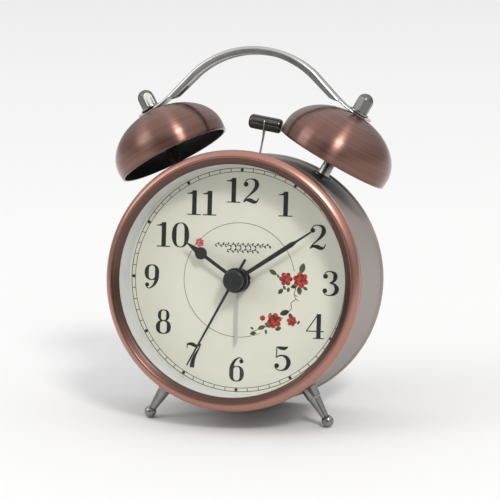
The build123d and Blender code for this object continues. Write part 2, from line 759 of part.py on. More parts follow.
os.makedirs("parts", exist_ok=True)
for name, group in leaned.items():
    placed = [shift * solid for solid in group]
    export_step(placed[0] if len(placed) == 1 else Compound(placed), f"parts/{name}.step")
print(f"leans back {lean:.2f} degrees, {back - front:.1f} deep and {top - floor:.1f} high")
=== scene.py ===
import json
import math

import bpy
import bmesh
from mathutils import Matrix, Vector


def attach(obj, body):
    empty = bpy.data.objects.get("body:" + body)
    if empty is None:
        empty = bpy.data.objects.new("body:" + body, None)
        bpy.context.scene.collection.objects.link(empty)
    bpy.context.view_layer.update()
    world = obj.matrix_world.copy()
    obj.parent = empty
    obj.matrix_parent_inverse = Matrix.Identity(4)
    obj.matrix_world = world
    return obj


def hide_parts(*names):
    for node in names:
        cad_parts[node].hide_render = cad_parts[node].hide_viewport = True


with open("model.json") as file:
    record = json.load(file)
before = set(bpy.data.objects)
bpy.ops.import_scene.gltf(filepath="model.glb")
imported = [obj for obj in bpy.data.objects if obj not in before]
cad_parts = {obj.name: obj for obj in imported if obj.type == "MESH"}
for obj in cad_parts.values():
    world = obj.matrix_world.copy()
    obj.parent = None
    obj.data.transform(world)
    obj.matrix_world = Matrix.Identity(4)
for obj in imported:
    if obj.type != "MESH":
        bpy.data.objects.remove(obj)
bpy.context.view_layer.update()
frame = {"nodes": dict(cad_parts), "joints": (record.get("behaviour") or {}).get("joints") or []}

# --- The clock's own axes -----------------------------------------------------------------
# The clock is drawn square to its dial, in millimetres: X right, Y to the back, Z up, with
# the middle of the dial on the line that the minute hand turns about.
joints = {joint["name"]: joint for joint in frame["joints"]}
hinge = joints["minute_spin"]
to_back = Vector(hinge["axis"]).normalized()
to_right = Vector((1, 0, 0))
to_top = to_right.cross(to_back)
clock = Matrix.Translation(Vector(hinge["pos_m"]))
clock = clock @ Matrix((to_right, to_back, to_top)).transposed().to_4x4() @ Matrix.Scale(0.001, 4)
along_y = clock @ Matrix.Rotation(math.radians(-90), 4, "X")   # local Z runs to the back


def on_clock(x, y, z, turn=0.0):
    """Place with its local Z tipped from the clock's Z towards +X by turn degrees."""
    return clock @ Matrix.Translation((x, y, z)) @ Matrix.Rotation(math.radians(turn), 4, "Y")


# --- Table and light ----------------------------------------------------------------------
# A plain pale table under soft studio light: a soft lamp high on the right, a wide fill from
# the left, and a pale surround that is brighter overhead than low down.
def shader_tree(name):
    """New node material with its Principled shader."""
    material = bpy.data.materials.new(name)
    material.use_nodes = True
    return material, material.node_tree, material.node_tree.nodes["Principled BSDF"]


def add_node(tree, kind, **settings):
    """New shader node; settings are its input values or its own properties."""
    node = tree.nodes.new(kind)
    for name, value in settings.items():
        if name in node.inputs:
            node.inputs[name].default_value = value
        else:
            setattr(node, name, value)
    return node


def worked(tree, operation, first, second):
    """Output of a sum or product of two values or sockets."""
    node = add_node(tree, "ShaderNodeMath", operation=operation)
    for socket, value in zip(node.inputs, (first, second)):
        if isinstance(value, float):
            socket.default_value = value
        else:
            tree.links.new(value, socket)
    return node.outputs[0]


def table_paint():
    material, tree, shader = shader_tree("table_paint")
    grain = add_node(tree, "ShaderNodeTexNoise", Scale=3.0, Detail=4.0)
    tint = add_node(tree, "ShaderNodeValToRGB")
    tint.color_ramp.elements[0].color = (0.80, 0.80, 0.803, 1)
    tint.color_ramp.elements[1].color = (0.83, 0.83, 0.83, 1)
    tree.links.new(grain.outputs["Fac"], tint.inputs["Fac"])
    tree.links.new(tint.outputs["Color"], shader.inputs["Base Color"])
    shader.inputs["Roughness"].default_value = 0.75
    return material


bpy.ops.mesh.primitive_plane_add(size=8.0, location=(0, 0, 0))
table = bpy.context.object
table.name = "table"
table.data.materials.append(table_paint())


def soft_lamp(name, spot, aim, width, height, power, colour=(1, 1, 1)):
    """Rectangular soft lamp at spot, facing aim."""
    light = bpy.data.lights.new(name, "AREA")
    light.shape = "RECTANGLE"
    light.size = width
    light.size_y = height
    light.energy = power
    light.color = colour
    lamp = bpy.data.objects.new(name, light)
    lamp.location = spot
    lamp.rotation_euler = (Vector(aim) - Vector(spot)).to_track_quat("-Z", "Y").to_euler()
    bpy.context.scene.collection.objects.link(lamp)


middle = (0, 0, 0.085)
soft_lamp("key_lamp", (2.12, -3.0, 3.75), middle, 1.0, 1.0, 110.0, (1.0, 0.98, 0.95))
soft_lamp("fill_lamp", (-3.8, -2.0, 2.9), middle, 2.2, 2.2, 42.0, (0.97, 0.985, 1.0))


def span(tree, source, low, high, first=0.3, last=0.7, kind="LINEAR"):
    """Stretches the values between first and last over low to high."""
    ends = {"From Min": first, "From Max": last, "To Min": low, "To Max": high}
    node = add_node(tree, "ShaderNodeMapRange", interpolation_type=kind, **ends)
    tree.links.new(source, node.inputs["Value"])
    return node.outputs["Result"]


def sky():
    """Studio surround: bright overhead, dimmer low down and dark where the dial looks out."""
    world = bpy.data.worlds.new("studio")
    bpy.context.scene.world = world
    world.use_nodes = True
    tree = world.node_tree
    where = add_node(tree, "ShaderNodeTexCoord")
    split = add_node(tree, "ShaderNodeSeparateXYZ")
    facing_out = add_node(tree, "ShaderNodeVectorMath", operation="DOT_PRODUCT")
    facing_out.inputs[1].default_value = Vector((0.08, -0.98, 0.18)).normalized()
    tree.links.new(where.outputs["Generated"], split.inputs[0])
    tree.links.new(where.outputs["Generated"], facing_out.inputs[0])
    overhead = span(tree, split.outputs["Z"], 0.45, 1.05, 0.05, 0.85, "SMOOTHSTEP")
    shade = span(tree, facing_out.outputs["Value"], 1.0, 0.22, 0.80, 0.96, "SMOOTHSTEP")
    tree.nodes["Background"].inputs["Color"].default_value = (1, 1, 1, 1)
    strength = worked(tree, "MULTIPLY", overhead, shade)
    tree.links.new(strength, tree.nodes["Background"].inputs["Strength"])


sky()
bpy.context.scene.view_settings.view_transform = "Standard"

# --- Camera -------------------------------------------------------------------------------
# A long lens, a little to the right of the dial and above it. It is rolled slightly, and its
# depth of field is off.
camera_turn, camera_rise, camera_roll = 14.27, 11.36, -0.84
camera_away, camera_lens = 0.9216, 155.4
look_at = Vector(hinge["pos_m"]) + Vector((0.0076, 0.0024, 0.0133))
lens_data = bpy.data.cameras.new("camera")
lens_data.lens = camera_lens
lens_data.sensor_width = 36.0
lens_data.clip_start = 0.01
camera = bpy.data.objects.new("camera", lens_data)
bpy.context.scene.collection.objects.link(camera)
turn, rise = math.radians(camera_turn), math.radians(camera_rise)
behind = Vector((math.sin(turn) * math.cos(rise), -math.cos(turn) * math.cos(rise), math.sin(rise)))
level = Vector((math.cos(turn), math.sin(turn), 0))
upright = behind.cross(level)
roll = math.radians(camera_roll)
side = math.cos(roll) * level + math.sin(roll) * upright
head = math.cos(roll) * upright - math.sin(roll) * level
camera.matrix_world = Matrix.Translation(look_at + behind * camera_away) \
    @ Matrix((side, head, behind)).transposed().to_4x4()
bpy.context.scene.camera = camera

# --- Drum case ----------------------------------------------------------------------------
# Drawn steel can in a warm grey, brushed round and round. Its rear edge is rolled outwards,
# and a slot in the top lets the hammer's wire through.
drum_r, drum_wall, rim_y, rim_tube = 55.0, 0.7, 53.6, 1.0
mouth_r, mouth_y = 51.2, 0.7
bell_y = 30.2                      # the bells, their posts, the handle and the hammer
slot_size = (10.4, 2.6, 12)


def arc(centre, radius, first, last, steps):
    """Points along an arc, angles in degrees from the radius direction."""
    points = []
    for n in range(steps + 1):
        angle = math.radians(first + (last - first) * n / steps)
        points.append((centre[0] + radius * math.cos(angle), centre[1] + radius * math.sin(angle)))
    return points


def eased(points, radius, steps=4):
    """Outline with each inner corner replaced by a short curve, as on a turned part."""
    line = [points[0]]
    for before, corner, after in zip(points, points[1:], points[2:]):
        corner, before, after = Vector(corner), Vector(before), Vector(after)
        reach = min(radius, (before - corner).length * 0.45, (after - corner).length * 0.45)
        start = corner + (before - corner).normalized() * reach
        end = corner + (after - corner).normalized() * reach
        for n in range(steps + 1):
            t = n / steps
            line.append(tuple((1 - t) ** 2 * start + 2 * t * (1 - t) * corner + t * t * end))
    line.append(points[-1])
    return line


def finished(piece, *materials, sharp=32.0):
    """Gives a piece its materials and smooth shading that keeps crisp edges."""
    for material in materials:
        piece.data.materials.append(material)
    piece.data.shade_smooth()
    piece.data.set_sharp_from_angle(angle=math.radians(sharp))


def baked(name, mesh):
    """Mesh data from a working mesh, which is freed."""
    data = bpy.data.meshes.new(name)
    mesh.to_mesh(data)
    mesh.free()
    return data


def new_piece(name, mesh, place):
    """Object in the scene from mesh data."""
    piece = bpy.data.objects.new(name, mesh)
    bpy.context.scene.collection.objects.link(piece)
    piece.matrix_world = place
    return piece


def turned(name, outline, place, closed=False, turns=192, shape=None, inside=()):
    """Turned part about local Z from (radius, height) points. It carries a vector, brush, that runs
    round the part slowly and across it quickly, for lathe marks. inside lists the outline steps
    that take the second material; shape bends the radius by angle."""
    mesh = bmesh.new()
    marks = mesh.verts.layers.float_vector.new("brush")
    rings, travel, last = [], 0.0, None
    for radius, height in outline:
        if last is not None:
            travel += math.dist((radius, height), last)
        last = (radius, height)
        ring = []
        for n in range(turns if radius > 1e-6 else 1):
            angle = 2 * math.pi * n / turns
            reach = shape(angle, radius) if shape else radius
            vertex = mesh.verts.new((reach * math.cos(angle), reach * math.sin(angle), height))
            vertex[marks] = (10 * math.cos(angle), 10 * math.sin(angle), travel)
            ring.append(vertex)
        rings.append(ring)
    pairs = list(zip(rings, rings[1:])) + ([(rings[-1], rings[0])] if closed else [])
    for step, (low, high) in enumerate(pairs):
        for n in range(turns):
            m = (n + 1) % turns
            corners = [low[n % len(low)], low[m % len(low)], high[m % len(high)], high[n % len(high)]]
            corners = list(dict.fromkeys(corners))
            if len(corners) > 2:
                face = mesh.faces.new(corners)
                face.material_index = 1 if step in inside else 0
    bmesh.ops.recalc_face_normals(mesh, faces=mesh.faces)
    return new_piece(name, baked(name, mesh), place)


def streaks(tree, source, across, around, seed=0.0, detail=6.0):
    """Noise drawn out along the brushing: across is marks per millimetre."""
    reach = add_node(tree, "ShaderNodeVectorMath", operation="MULTIPLY_ADD")
    reach.inputs[1].default_value = (around, around, across)
    reach.inputs[2].default_value = (seed, seed, seed)
    tree.links.new(source, reach.inputs[0])
    noise = add_node(tree, "ShaderNodeTexNoise", Scale=1.0, Detail=detail, Roughness=0.62)
    tree.links.new(reach.outputs[0], noise.inputs["Vector"])
    return noise.outputs["Fac"]


def ramp(tree, source, *stops):
    """Colour ramp through (position, colour) stops."""
    node = add_node(tree, "ShaderNodeValToRGB")
    elements = node.color_ramp.elements
    elements[0].position, elements[0].color = stops[0][0], (*stops[0][1], 1)
    elements[1].position, elements[1].color = stops[-1][0], (*stops[-1][1], 1)
    for position, colour in stops[1:-1]:
        elements.new(position).color = (*colour, 1)
    tree.links.new(source, node.inputs["Fac"])
    return node.outputs["Color"]


def bumped(tree, shader, source, depth, distance=0.05):
    """Fine relief from a value, on the shader's normal."""
    node = add_node(tree, "ShaderNodeBump", Strength=depth, Distance=distance)
    tree.links.new(source, node.inputs["Height"])
    tree.links.new(node.outputs["Normal"], shader.inputs["Normal"])


def brushed(name, colours, rough, grain, across=3.0, around=0.03, stretch=0.7, metal=1.0, lacquer=0.0):
    """Lathe-brushed metal: fine marks round the part in its colour, gloss and surface. across and
    around are the marks' fineness, stretch draws out the highlight, lacquer is a clear coat."""
    material, tree, shader = shader_tree(name)
    marks = add_node(tree, "ShaderNodeAttribute", attribute_name="brush")
    fine = streaks(tree, marks.outputs["Vector"], across, around)
    wide = streaks(tree, marks.outputs["Vector"], across * 0.16, around * 0.7, seed=7.0, detail=3.0)
    blend = add_node(tree, "ShaderNodeMix", data_type="FLOAT")
    blend.inputs[0].default_value = 0.45   # share of the wide marks
    tree.links.new(fine, blend.inputs[2])
    tree.links.new(wide, blend.inputs[3])
    tree.links.new(ramp(tree, blend.outputs[0], *colours), shader.inputs["Base Color"])
    tree.links.new(span(tree, fine, *rough), shader.inputs["Roughness"])
    bumped(tree, shader, fine, grain)
    shader.inputs["Metallic"].default_value = metal
    shader.inputs["Coat Weight"].default_value = lacquer
    shader.inputs["Coat Roughness"].default_value = 0.24
    shader.inputs["Anisotropic"].default_value = stretch
    shader.inputs["Anisotropic Rotation"].default_value = 0.25
    tangent = add_node(tree, "ShaderNodeTangent", direction_type="RADIAL", axis="Z")
    tree.links.new(tangent.outputs[0], shader.inputs["Tangent"])
    return material


def clouds(tree, scale, detail):
    """Noise fixed to the piece."""
    noise = add_node(tree, "ShaderNodeTexNoise", Scale=scale, Detail=detail)
    tree.links.new(add_node(tree, "ShaderNodeTexCoord").outputs["Object"], noise.inputs["Vector"])
    return noise.outputs["Fac"]


def mottled(name, low, high, scale, detail, rough=None):
    """Plain finish, a little uneven in colour and, with rough, in gloss."""
    material, tree, shader = shader_tree(name)
    tone = clouds(tree, scale, detail)
    tree.links.new(ramp(tree, tone, (0.3, low), (0.7, high)), shader.inputs["Base Color"])
    if rough:
        tree.links.new(span(tree, tone, *rough), shader.inputs["Roughness"])
    return material


def drum_outline():
    """Turned-in front edge, wall and rolled rear rim, then the inside back to the front."""
    inner = drum_r - drum_wall
    wall = [(mouth_r, mouth_y), (drum_r - 0.4, mouth_y), (drum_r, mouth_y + 0.4), (drum_r, rim_y - 1.2)]
    rolled = arc((drum_r - 0.05, rim_y), rim_tube, -60, 190, 16)
    within = [(inner, rim_y - 1.0), (inner, mouth_y + drum_wall), (mouth_r, mouth_y + drum_wall)]
    return wall + rolled + within


case_steel = brushed("case_steel", ((0.3, (0.30, 0.262, 0.243)), (0.55, (0.345, 0.302, 0.28)),
                                    (0.75, (0.39, 0.345, 0.322))), (0.40, 0.50), grain=0.02,
                     across=2.6, metal=0.4)
# Near-black finish for the insides of the bells: painted shade for their hollows.
bell_hollow_shade = mottled("bell_hollow_shade", (0.012, 0.012, 0.013), (0.028, 0.026, 0.026), 0.6, 5.0, (0.35, 0.6))

drum = turned("drum", drum_outline(), along_y, closed=True, turns=256)
cutter_mesh = bmesh.new()
bmesh.ops.create_cube(cutter_mesh, size=1.0)
bmesh.ops.transform(cutter_mesh, matrix=Matrix.Diagonal((*slot_size, 1)), verts=cutter_mesh.verts)
cutter = new_piece("slot_cutter", baked("slot_cutter", cutter_mesh), on_clock(0, bell_y, drum_r))
cut = drum.modifiers.new("slot", "BOOLEAN")
cut.object = cutter
cut.solver = "EXACT"
bpy.context.view_layer.update()
slotted = bpy.data.meshes.new_from_object(drum.evaluated_get(bpy.context.evaluated_depsgraph_get()))
drum.modifiers.clear()
drum.data = slotted
bpy.data.objects.remove(cutter)
finished(drum, case_steel)
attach(drum, "case")
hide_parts("drum_case")

# --- Bezel ring ---------------------------------------------------------------------------
# Half-round ring pressed from sheet, copper plated, darkened and lacquered, pushed over the
# front of the drum. Its inner side slopes back to a lip that holds the glass, and that slope
# is painted in a much darker copy of the copper as painted shade.
bezel_middle, bezel_round, lip_r, glass_y = (52.2, 0.1), 3.9, 49.9, -1.4


def bezel_outline():
    """Skirt over the drum, half-round crown, and the slope back to the lip in front of the glass."""
    outside = [(55.1, 4.2), (55.55, 4.25)] + arc(bezel_middle, bezel_round, 62, 0, 6)
    crown = arc(bezel_middle, bezel_round, 0, -72, 12)
    nose = arc((53.1, -3.05), 1.35, -66, -128, 6)
    slope = eased([(52.2, -4.05), (51.0, -3.05), (50.35, -2.55), (lip_r, -2.05), (lip_r, glass_y),
                   (53.5, glass_y)], 0.5, 4)
    return outside + crown + nose + slope + [(54.3, 0.3), (55.1, 0.3)]


copper = brushed("antique_copper", ((0.25, (0.36, 0.178, 0.136)), (0.5, (0.42, 0.213, 0.165)),
                                    (0.75, (0.48, 0.25, 0.198))),
                 (0.28, 0.36), grain=0.012, across=2.6, stretch=0.4, lacquer=0.3)
# Painted shade: a much darker copy of the copper for the bezel's inner slope.
copper_painted_shade = brushed("copper_painted_shade", ((0.25, (0.085, 0.052, 0.044)), (0.5, (0.125, 0.072, 0.06)),
                                      (0.75, (0.18, 0.10, 0.082))),
                      (0.24, 0.34), grain=0.012, across=2.6, stretch=0.4)
bezel_points = bezel_outline()
# Steps of the inner slope, which take the painted shade.
inner_slope = [n for n, (radius, height) in enumerate(bezel_points) if radius < 52.9 and height < -1.5]
bezel = turned("bezel", bezel_points, along_y, closed=True, turns=256, inside=inner_slope)
finished(bezel, copper, copper_painted_shade, sharp=50)
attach(bezel, "case")
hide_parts("bezel_ring")

# --- Glass and gasket ---------------------------------------------------------------------
# Flat disc of clear glass with a ground edge. It lies behind the bezel's lip, bedded on a
# thin black rubber gasket.
glass_r, glass_back = 53.0, -0.1


def clear_glass():
    """Clear pane: transparent, with the reflection of its front face and a faint smear."""
    material, tree, shader = shader_tree("clear_glass")
    tree.nodes.remove(shader)
    through = add_node(tree, "ShaderNodeBsdfTransparent", Color=(0.985, 0.99, 0.985, 1))
    gloss = add_node(tree, "ShaderNodeBsdfGlossy")
    edge = add_node(tree, "ShaderNodeFresnel", IOR=1.45)
    facets = add_node(tree, "ShaderNodeNewGeometry")
    outer = worked(tree, "SUBTRACT", 1.0, facets.outputs["Backfacing"])
    tree.links.new(span(tree, clouds(tree, 0.08, 2.0), 0.02, 0.05), gloss.inputs["Roughness"])
    mix = add_node(tree, "ShaderNodeMixShader")
    tree.links.new(worked(tree, "MULTIPLY", edge.outputs[0], outer), mix.inputs[0])
    tree.links.new(through.outputs[0], mix.inputs[1])
    tree.links.new(gloss.outputs[0], mix.inputs[2])
    tree.links.new(mix.outputs[0], tree.nodes["Material Output"].inputs["Surface"])
    return material


glass = turned("glass", eased([(0, glass_y + 0.1), (glass_r, glass_y + 0.1), (glass_r, glass_back),
                               (0, glass_back)], 0.3), along_y)
finished(glass, clear_glass())
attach(glass, "case")
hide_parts("lens")

gasket = turned("gasket", [(51.0, glass_back), (glass_r, glass_back), (glass_r, 0.1), (51.0, 0.1)], along_y,
                closed=True)
finished(gasket, mottled("rubber", (0.02, 0.02, 0.02), (0.04, 0.04, 0.038), 2.0, 6.0))
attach(gasket, "case")
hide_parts("lens_gasket")

# --- Reflector ring -----------------------------------------------------------------------
# Shallow cone of pale grey enamelled sheet between the glass and the dial. It is spun to
# shape, with a flange at the front.
def painted(name, low, high, rough=(0.35, 0.5), scale=0.8, grain=0.06, coat=0.0, gain=1.0):
    """Paint with a faint orange-peel surface and slightly uneven colour. gain is how many
    millimetres the piece's own unit holds."""
    material, tree, shader = shader_tree(name)
    tone = clouds(tree, scale * 0.12 * gain, 5.0)
    peel = clouds(tree, scale * 2.4 * gain, 3.0)
    tree.links.new(ramp(tree, tone, (0.3, low), (0.7, high)), shader.inputs["Base Color"])
    tree.links.new(span(tree, peel, *rough), shader.inputs["Roughness"])
    bumped(tree, shader, peel, grain, distance=0.03 / gain)
    shader.inputs["Coat Weight"].default_value = coat
    return material


reflector_outline = eased([(50.3, 0.12), (53.3, 0.12), (53.3, 0.6), (50.9, 0.6), (50.3, 12.5), (49.7, 12.5)],
                          0.3, 3)
reflector = turned("reflector", reflector_outline, along_y, closed=True, turns=256)
finished(reflector, painted("reflector_paint", (0.66, 0.68, 0.69), (0.72, 0.74, 0.745), (0.3, 0.42)))
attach(reflector, "case")
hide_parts("reflector_ring")

# --- Dial ---------------------------------------------------------------------------------
# Aluminium disc painted cream, with a minute track, upright numerals and a small flower spray
# printed on it in ink that stands a few hundredths of a millimetre proud.
dial_y, dial_edge, dial_hole, dial_thick = 12.6, 50.1, 4.1, 0.5
facing = clock @ Matrix.Rotation(math.radians(90), 4, "X")   # X right, Y up, Z to the front
dial_outline = eased([(dial_hole, dial_y + dial_thick), (dial_hole, dial_y), (dial_edge, dial_y),
                      (dial_edge, dial_y + dial_thick)], 0.08, 2)
dial = turned("dial_plate", dial_outline, along_y, closed=True, turns=256)
finished(dial, painted("dial_cream", (0.775, 0.755, 0.655), (0.80, 0.78, 0.68), (0.42, 0.55), grain=0.03))
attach(dial, "case")
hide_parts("dial")


def ink_strip(mesh, line, level, closed=False):
    """Bar of ink along (x, y, width) points, with a flat top at level."""
    rows, count = [], len(line)
    for n, (x, y, width) in enumerate(line):
        before = line[(n - 1) % count if closed else max(n - 1, 0)]
        after = line[(n + 1) % count if closed else min(n + 1, count - 1)]
        across = Vector((before[1] - after[1], after[0] - before[0])).normalized() * width / 2
        corners = ((across, 0), (across, level), (-across, level), (-across, 0))
        rows.append([mesh.verts.new((x + step.x, y + step.y, height)) for step, height in corners])
    for near, far in list(zip(rows, rows[1:])) + ([(rows[-1], rows[0])] if closed else []):
        for k in range(4):
            mesh.faces.new((near[k], near[k - 3], far[k - 3], far[k]))
    if not closed:
        mesh.faces.new(rows[0])
        mesh.faces.new(rows[-1][::-1])


def ink_shape(mesh, outline, level):
    """Flat patch of ink inside an outline of (x, y) points."""
    low = [mesh.verts.new((x, y, 0)) for x, y in outline]
    high = [mesh.verts.new((x, y, level)) for x, y in outline]
    mesh.faces.new(high)
    mesh.faces.new(low[::-1])
    for n in range(len(low)):
        mesh.faces.new((low[n - 1], low[n], high[n], high[n - 1]))


def circle(x, y, radius, steps):
    """Points round a circle."""
    angles = [2 * math.pi * n / steps for n in range(steps)]
    return [(x + radius * math.cos(angle), y + radius * math.sin(angle)) for angle in angles]


def printed(name, mesh, material):
    """Ink on the dial's face from a mesh drawn as the dial is read."""
    bmesh.ops.recalc_face_normals(mesh, faces=mesh.faces)
    piece = new_piece(name, baked(name, mesh), facing @ Matrix.Translation((0, 0, -dial_y)))
    piece.data.materials.append(material)
    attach(piece, "case")


def by_hour(angle, radius):
    """Point at a clock angle, in degrees from twelve."""
    return radius * math.sin(math.radians(angle)), radius * math.cos(math.radians(angle))


dial_ink = painted("dial_ink", (0.009, 0.010, 0.009), (0.014, 0.015, 0.014), (0.4, 0.55), scale=3.0)
ink_high, ink_step = 0.03, 0.003   # each stroke lies a little above the one before it
track_in, track_out, ring_in, ring_steps = 46.95, 48.55, 24.8, 240
spray_gap = range(54, 104)         # steps of the inner ring that the flower spray takes
track = bmesh.new()
for ring_r, ring_wide in ((track_in, 0.24), (track_out, 0.28), (ring_in, 0.2)):
    line = [(*by_hour(n * 360 / ring_steps, ring_r), ring_wide) for n in range(ring_steps)]
    if ring_r == ring_in:
        line = line[spray_gap.stop:] + line[:spray_gap.start]
    ink_strip(track, line, ink_high, closed=ring_r != ring_in)
for minute in range(60):
    if minute % 5:
        ticks = [(*by_hour(minute * 6, radius), 0.3) for radius in (track_in, track_out)]
        ink_strip(track, ticks, ink_high + 2 * ink_step)
    else:
        middle_of_track = by_hour(minute * 6, (track_in + track_out) / 2)
        ink_shape(track, circle(*middle_of_track, 0.72, 24), ink_high + 4 * ink_step)
printed("minute_track", track, dial_ink)


def flowing(points, steps=8):
    """Smooth curve through (x, y, width) points."""
    line = []
    padded = [points[0], *points, points[-1]]
    for group in zip(padded, padded[1:], padded[2:], padded[3:]):
        for n in range(steps):
            t = n / steps
            line.append(tuple(0.5 * (2 * b + (c - a) * t + (2 * a - 5 * b + 4 * c - d) * t * t
                                     + (3 * b - a - 3 * c + d) * t ** 3) for a, b, c, d in zip(*group)))
    return line + [points[-1]]


# Each figure stands in a box 100 high: curves of (x, y, width), rings of (x, y, half width,
# half height, heavy stroke, fine stroke) and balls of (x, y, radius).
six_curves = [[(13, 30, 15), (13, 56, 15), (22, 82, 10), (38, 97, 4), (50, 92, 3.5)]]
six_ring, six_ball = (31, 32, 26, 32, 15, 4), (47, 83, 8)
figures = {
    "0": ([], [(31, 50, 31, 51, 17, 3.5)], []),
    "1": ([[(30, 0, 16), (30, 100, 16)], [(6, 2, 4), (54, 2, 4)],
           [(4, 87.5, 3), (14, 88, 5), (24, 90, 10), (36, 93, 14)]], [], []),
    "2": ([[(9, 80, 3), (16, 93, 4), (32, 98, 4), (48, 90, 12), (52, 74, 17), (46, 56, 13), (30, 36, 7),
            (14, 18, 4.5), (7, 5, 4)],
           [(6, 3, 4), (16, 12, 9), (30, 11, 15), (44, 5, 13), (54, 8, 6), (59, 22, 3.5)]],
          [], [(14, 76, 9)]),
    "3": ([[(8, 82, 3), (16, 95, 4), (30, 98, 4.5), (44, 90, 12), (47, 76, 16), (42, 60, 10), (28, 52, 3.5)],
           [(28, 52, 3.5), (44, 46, 9), (53, 28, 17), (46, 10, 12), (30, 2, 4.5), (14, 5, 3.5), (6, 16, 3)]],
          [], [(13, 78, 9), (12, 20, 9)]),
    "4": ([[(45.5, 0, 15), (45.5, 100, 15)], [(28, 2, 4), (64, 2, 4)], [(42, 98, 4), (4, 31, 4)],
           [(2, 30, 4), (64, 30, 4)]], [], []),
    "5": ([[(13, 96, 4), (24, 92, 12), (38, 91, 13), (50, 97, 6)], [(12, 97, 4), (11, 52, 4)],
           [(11, 52, 4), (20, 60, 5), (32, 62, 6), (47, 54, 13), (54, 34, 17), (47, 12, 12), (31, 2, 5),
            (14, 5, 3.5), (6, 16, 3)]], [], [(13, 20, 9)]),
    "6": (six_curves, [six_ring], [six_ball]),
    "7": ([[(6, 78, 3), (6, 99, 3)], [(6, 90, 4), (14, 96, 9), (26, 94, 14), (40, 88, 10), (54, 98, 4)],
           [(54, 97, 4), (46, 74, 6), (34, 48, 11), (27, 22, 16), (25, 0, 18)]], [], []),
    "8": ([], [(31, 75, 21, 24, 12, 4), (31, 27, 27, 28, 15, 4)], []),
    "9": ([[(62 - x, 100 - y, w) for x, y, w in six_curves[0]]],
          [(62 - six_ring[0], 100 - six_ring[1], *six_ring[2:])],
          [(62 - six_ball[0], 100 - six_ball[1], six_ball[2])]),
}
figure_high, figure_stretch = 10.7, 1.19
figure_wide, narrow_one, figure_gap = 62, 50, 4.5
stroke_gain = 1.08


def print_figure(mesh, digit, left, foot):
    """Inks one figure with its left side and foot at the given place."""
    size = figure_high / 100
    curves, rings, balls = figures[digit]
    level = ink_high
    serif = 4 if digit == "1" else 0

    def spot(x, y):
        return left + (x - serif) * size * figure_stretch, foot + y * size

    for curve in curves:
        line = flowing(curve) if len(curve) > 2 else curve
        level += ink_step
        upright = abs(line[0][0] - line[-1][0]) < 1 and len(line) == 2
        gain = figure_stretch if upright else stroke_gain
        ink_strip(mesh, [(*spot(x, y), w * size * gain) for x, y, w in line], level)
    for x, y, half_wide, half_high, heavy, fine in rings:
        line = []
        for n in range(64):
            angle = 2 * math.pi * n / 64
            stroke = fine + (heavy - fine) * abs(math.cos(angle)) ** 1.6
            gain = 1 + (figure_stretch - 1) * abs(math.cos(angle))
            line.append((*spot(x + (half_wide - stroke / 2) * math.cos(angle),
                               y + (half_high - fine / 2) * math.sin(angle)), stroke * size * gain))
        level += ink_step
        ink_strip(mesh, line, level, closed=True)
    for x, y, radius in balls:
        level += ink_step
        ink_shape(mesh, circle(*spot(x, y), radius * size * stroke_gain, 24), level)


numerals = bmesh.new()
numeral_r = {2: 39.5, 3: 40.5, 9: 39.5, 10: 35.7, 11: 37.4}
numeral_turn = {10: 1.5, 11: 1.7, 12: 0.9, 1: 0.4, 4: -1.2, 5: -1.2}
unit_wide = figure_stretch * figure_high / 100
for hour in range(1, 13):
    text = str(hour)
    widths = [narrow_one if digit == "1" else figure_wide for digit in text]
    total = (sum(widths) + figure_gap * (len(text) - 1)) * unit_wide
    middle_x, middle_z = by_hour(hour * 30 + numeral_turn.get(hour, 0), numeral_r.get(hour, 38.8))
    left = middle_x - total / 2
    for digit, width in zip(text, widths):
        print_figure(numerals, digit, left, middle_z - figure_high / 2)
        left += (width + figure_gap) * unit_wide
printed("numerals", numerals, dial_ink)


def blossom(x, y, radius, petals, turn):
    """Outline of an open flower with rounded petals."""
    outline = []
    for n in range(petals * 12):
        angle = 2 * math.pi * n / (petals * 12)
        reach = radius * (0.68 + 0.32 * abs(math.cos(petals * angle / 2)) ** 0.7)
        outline.append((x + reach * math.cos(angle + turn), y + reach * math.sin(angle + turn)))
    return outline


def leaf(x, y, length, width, turn):
    """Pointed leaf outline that lies along turn, in degrees."""
    outline = []
    for n in range(24):
        along = math.cos(2 * math.pi * n / 24)
        side = math.sin(2 * math.pi * n / 24)
        px, py = along * length / 2, side * width / 2 * (1 - along * along) ** 0.35
        c, s = math.cos(math.radians(turn)), math.sin(math.radians(turn))
        outline.append((x + px * c - py * s, y + px * s + py * c))
    return outline


def rose(layers, x, y, radius, turn):
    """Rounds of petals, each smaller, higher and turned from the last, in alternate inks."""
    for n, size in enumerate((1.0, 0.78, 0.55, 0.34, 0.16)):
        shift = radius * 0.03 * n
        middle_x, middle_y = x + shift * math.cos(turn + 2 * n), y + shift * math.sin(turn + 2 * n)
        petals = blossom(middle_x, middle_y, radius * size, 6 - n % 2, turn + 0.5 * n)
        ink_shape(layers[n % 2], petals, 0.026 + 0.005 * n)


deep_red = painted("deep_red_ink", (0.11, 0.008, 0.008), (0.27, 0.022, 0.018), scale=2.2)
bright_red = painted("bright_red_ink", (0.44, 0.028, 0.02), (0.62, 0.10, 0.065), scale=2.2)
leaf_green = painted("leaf_green_ink", (0.018, 0.024, 0.011), (0.13, 0.14, 0.065), scale=1.6)
pink = painted("pink_ink", (0.60, 0.22, 0.21), (0.74, 0.40, 0.38), scale=6.0)
